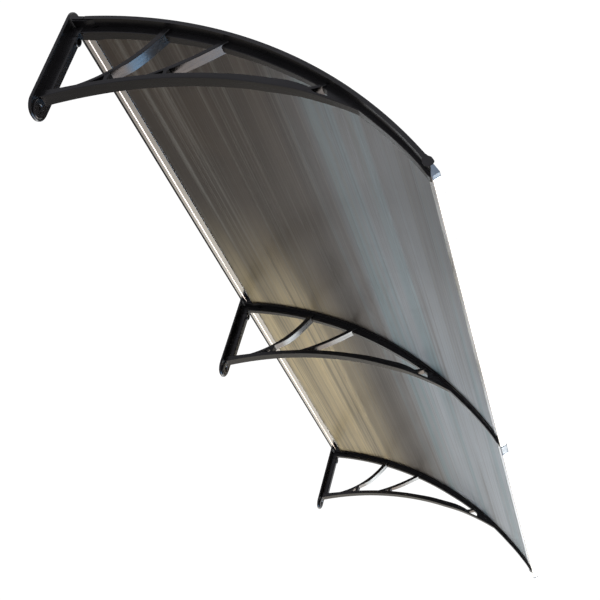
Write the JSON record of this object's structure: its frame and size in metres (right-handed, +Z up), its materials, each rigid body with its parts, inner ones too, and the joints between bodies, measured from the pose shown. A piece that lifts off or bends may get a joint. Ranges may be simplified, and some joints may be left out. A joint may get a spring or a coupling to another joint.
{
  "type": "awning",
  "caption": "Curved smoked-sheet awning for over a door or window: moulded arched brackets with open struts carry it between a rear and a front metal bar.",
  "frame": {"origin": "centre line of the middle bracket's wall plate, on its flat back face, which is the wall's plane", "axes": "+X along the wall and the bars, +Y out of the back of the plates into the wall so that the canopy reaches out along -Y, +Z up"},
  "size_m": [3, 1.0526, 0.451],
  "materials": {
    "black_plastic": "satin black moulding",
    "grey_plastic": "satin grey moulding",
    "smoked_sheet": "clear-surfaced smoked sheet",
    "aluminium": "mill finish extrusion",
    "steel": "plated",
    "rubber": "matt"
  },
  "bodies": {
    "root": {"bracket_left": "black_plastic", "bracket_middle": "black_plastic", "bracket_right": "black_plastic", "cover_left": "black_plastic", "cover_middle": "black_plastic", "cover_right": "black_plastic", "screw_left_1": "steel", "screw_left_2": "steel", "screw_left_3": "steel", "screw_left_4": "steel", "screw_middle_1": "steel", "screw_middle_2": "steel", "screw_middle_3": "steel", "screw_middle_4": "steel", "screw_right_1": "steel", "screw_right_2": "steel", "screw_right_3": "steel", "screw_right_4": "steel", "sheet_left": "smoked_sheet", "sheet_right": "smoked_sheet", "rear_bar_left": "aluminium", "rear_bar_right": "aluminium", "front_bar_left": "aluminium", "front_bar_right": "aluminium", "front_bar_joiner": "grey_plastic", "rear_bar_joiner": "grey_plastic", "front_bar_cap_left": "grey_plastic", "front_bar_cap_right": "grey_plastic", "rear_bar_cap_left": "black_plastic", "rear_bar_cap_right": "black_plastic", "wall_seal_left": "rubber", "wall_seal_right": "rubber"}
  },
  "joints": []
}
